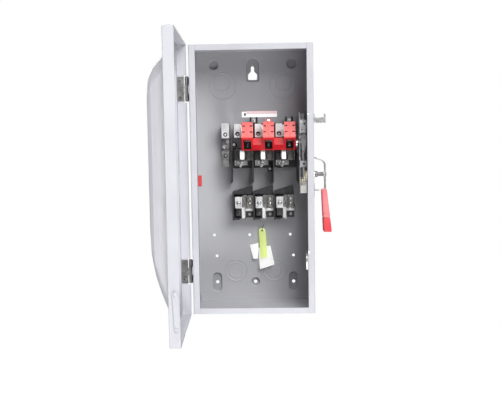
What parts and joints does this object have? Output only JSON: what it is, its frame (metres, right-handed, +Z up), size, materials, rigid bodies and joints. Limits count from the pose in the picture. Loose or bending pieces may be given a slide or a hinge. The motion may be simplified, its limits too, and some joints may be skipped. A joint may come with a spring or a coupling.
{
  "type": "fusible safety switch",
  "caption": "Wall-mounted fusible disconnect switch box with its hinged door open, fuse clips and lugs inside, and a red side handle.",
  "frame": {"origin": "flat of the top hanging foot, where the enclosure touches the wall above its keyhole", "axes": "+Z up, +X right as seen from the front, +Y towards the wall"},
  "size_m": [0.3131, 0.3454, 0.5012],
  "materials": {
    "enclosure_paint": "satin powder coat",
    "black_moulding": "moulded, fine texture",
    "barrier_sheet": "pressed sheet, slightly rough",
    "red_moulding": "moulded, semi-gloss",
    "grip_red": "moulded, semi-gloss",
    "grip_end_red": "moulded, semi-gloss",
    "zinc_plate": "zinc plated, slightly mottled",
    "yellow_zinc": "yellow zinc plated",
    "dark_steel": "blackened",
    "lug_aluminium": "extruded, sawn ends",
    "tinned_copper": "tin plated",
    "white_nylon": "moulded",
    "white_label": "satin film",
    "red_label": "satin film",
    "tag_green": "card",
    "tag_card": "card"
  },
  "bodies": {
    "root": {"enclosure_wrap": "enclosure_paint", "end_wall_top": "enclosure_paint", "end_wall_bottom": "enclosure_paint", "hinge_box_leaf_upper": "zinc_plate", "hinge_box_leaf_lower": "zinc_plate", "hinge_pin_upper": "zinc_plate", "hinge_pin_lower": "zinc_plate", "door_catch": "zinc_plate", "hasp_bracket": "zinc_plate", "lock_plate": "zinc_plate", "mechanism_frame": "zinc_plate", "shaft_bushing": "zinc_plate", "interlock_block": "white_nylon", "line_base": "black_moulding", "neutral_base": "black_moulding", "load_base_1": "black_moulding", "load_base_2": "black_moulding", "load_base_3": "black_moulding", "barrier_1": "barrier_sheet", "barrier_2": "barrier_sheet", "barrier_3": "barrier_sheet", "barrier_4": "barrier_sheet", "fuse_bus_1": "tinned_copper", "fuse_bus_2": "tinned_copper", "fuse_bus_3": "tinned_copper", "load_clip_1": "tinned_copper", "load_clip_2": "tinned_copper", "load_clip_3": "tinned_copper", "line_terminal_1": "lug_aluminium", "line_terminal_2": "lug_aluminium", "line_terminal_3": "lug_aluminium", "load_lug_1": "lug_aluminium", "load_lug_2": "lug_aluminium", "load_lug_3": "lug_aluminium", "neutral_bar": "lug_aluminium", "neutral_lug_upper": "lug_aluminium", "neutral_lug_lower": "lug_aluminium", "rating_label": "white_label", "side_label": "red_label", "tag_strip": "tag_green", "tag_card": "tag_card", "tag_folded": "tag_card"},
    "door": {"door_panel": "enclosure_paint", "hinge_door_leaf_upper": "zinc_plate", "hinge_door_leaf_lower": "zinc_plate"},
    "latch": {"door_latch_lever": "enclosure_paint"},
    "handle": {"handle_shaft": "dark_steel", "handle_arm": "zinc_plate", "handle_grip": "grip_red", "handle_grip_end": "grip_end_red", "handle_crank": "yellow_zinc"},
    "link": {"drive_link": "zinc_plate", "link_spring": "zinc_plate"},
    "rotor": {"blade_carrier": "red_moulding", "rotor_drive": "zinc_plate", "blade_1": "tinned_copper", "blade_2": "tinned_copper", "blade_3": "tinned_copper"},
    "interlock": {"interlock_lever": "yellow_zinc"}
  },
  "joints": [
    {"name": "door_swing", "type": "hinge", "parent": "root", "child": "door", "pos_m": [-0.1184, -0.107, -0.2265], "axis": [0, 0, -1], "range_deg": [-87.9, 42.1]},
    {"name": "latch_swing", "type": "hinge", "parent": "door", "child": "latch", "pos_m": [-0.1168, -0.3416, -0.3895], "axis": [0.0366, -0.9993, 0], "range_deg": [-20, 20]},
    {"name": "handle_swing", "type": "hinge", "parent": "root", "child": "handle", "pos_m": [0.1359, -0.072, -0.2185], "axis": [-1, 0, 0], "range_deg": [0, 150]},
    {"name": "link_swing", "type": "hinge", "parent": "handle", "child": "link", "pos_m": [0.097, -0.08059, -0.22688], "axis": [-1, 0, 0], "range_deg": [-150, 0]},
    {"name": "rotor_swing", "type": "hinge", "parent": "root", "child": "rotor", "pos_m": [0.0303, -0.036, -0.1578], "axis": [-1, 0, 0], "range_deg": [0, 55]},
    {"name": "interlock_swing", "type": "hinge", "parent": "root", "child": "interlock", "pos_m": [0.0918, -0.075, -0.2345], "axis": [-1, 0, 0], "range_deg": [0, 15]}
  ],
  "couplings": [
    {"joint": "link_swing", "follows": "handle_swing", "ratio": -1},
    {"joint": "rotor_swing", "follows": "handle_swing", "ratio": 0.36666}
  ]
}
